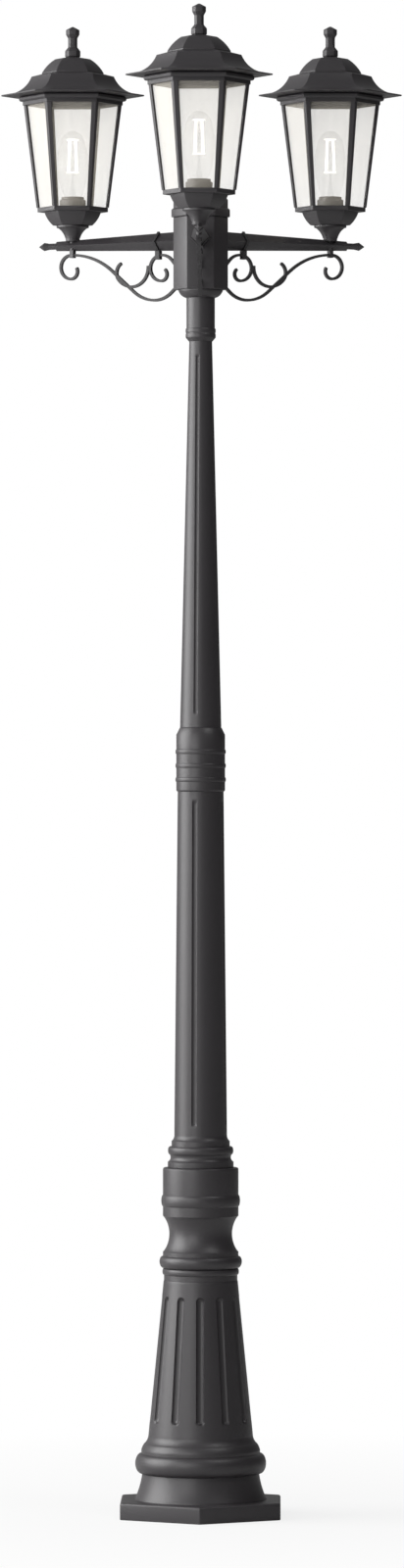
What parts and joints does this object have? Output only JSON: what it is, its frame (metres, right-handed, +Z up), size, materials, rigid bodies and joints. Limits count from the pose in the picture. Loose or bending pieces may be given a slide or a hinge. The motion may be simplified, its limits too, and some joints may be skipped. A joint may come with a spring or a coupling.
{
  "type": "triple head lamp post",
  "caption": "Outdoor post lamp: hexagonal foot, fluted pedestal and two-stage pole, and a hub with arms on scrolled brackets that carry six-sided lanterns with lift-off roofs and bulbs.",
  "frame": {"origin": "middle of the foot's underside, on the post's axis", "axes": "+Z up the post, -Y towards the front arm and its lantern, the other two arms at 30 degrees behind +X and -X"},
  "size_m": [0.5958, 0.5159, 2.2035],
  "materials": {
    "cast_paint": "anthracite powder coat, satin, with a fine grain",
    "steel": "painted threaded steel",
    "pane_glass": "clear, faintly streaked",
    "holder_plastic": "moulded, matt",
    "bulb_glass": "clear",
    "cap_metal": "nickel-plated screw cap",
    "filament": "pale coated rods"
  },
  "bodies": {
    "post": {"base_pedestal": "cast_paint", "lower_pole": "cast_paint", "upper_pole": "cast_paint", "hub_housing": "cast_paint", "hub_lid": "cast_paint", "arm_front": "cast_paint", "arm_tip_front": "cast_paint", "scroll_front": "cast_paint", "scroll_clamp_front": "cast_paint", "lantern_bolt_front": "steel", "lantern_bowl_front": "cast_paint", "lantern_cage_front": "cast_paint", "glass_panes_front": "pane_glass", "lampholder_front": "holder_plastic", "arm_right": "cast_paint", "arm_tip_right": "cast_paint", "scroll_right": "cast_paint", "scroll_clamp_right": "cast_paint", "lantern_bolt_right": "steel", "lantern_bowl_right": "cast_paint", "lantern_cage_right": "cast_paint", "glass_panes_right": "pane_glass", "lampholder_right": "holder_plastic", "arm_left": "cast_paint", "arm_tip_left": "cast_paint", "scroll_left": "cast_paint", "scroll_clamp_left": "cast_paint", "lantern_bolt_left": "steel", "lantern_bowl_left": "cast_paint", "lantern_cage_left": "cast_paint", "glass_panes_left": "pane_glass", "lampholder_left": "holder_plastic"},
    "roof_front": {"roof_front": "cast_paint", "roof_finial_front": "cast_paint"},
    "bulb_front": {"bulb_glass_front": "bulb_glass", "bulb_cap_front": "cap_metal", "bulb_filament_front": "filament"},
    "roof_right": {"roof_right": "cast_paint", "roof_finial_right": "cast_paint"},
    "bulb_right": {"bulb_glass_right": "bulb_glass", "bulb_cap_right": "cap_metal", "bulb_filament_right": "filament"},
    "roof_left": {"roof_left": "cast_paint", "roof_finial_left": "cast_paint"},
    "bulb_left": {"bulb_glass_left": "bulb_glass", "bulb_cap_left": "cap_metal", "bulb_filament_left": "filament"}
  },
  "joints": [
    {"name": "roof_lift_front", "type": "slide", "parent": "post", "child": "roof_front", "axis": [0, 0, 1], "range_m": [0, 0.25]},
    {"name": "bulb_out_front", "type": "slide", "parent": "post", "child": "bulb_front", "axis": [0, 0, 1], "range_m": [0, 0.035]},
    {"name": "roof_lift_right", "type": "slide", "parent": "post", "child": "roof_right", "axis": [0, 0, 1], "range_m": [0, 0.25]},
    {"name": "bulb_out_right", "type": "slide", "parent": "post", "child": "bulb_right", "axis": [0, 0, 1], "range_m": [0, 0.035]},
    {"name": "roof_lift_left", "type": "slide", "parent": "post", "child": "roof_left", "axis": [0, 0, 1], "range_m": [0, 0.25]},
    {"name": "bulb_out_left", "type": "slide", "parent": "post", "child": "bulb_left", "axis": [0, 0, 1], "range_m": [0, 0.035]}
  ]
}
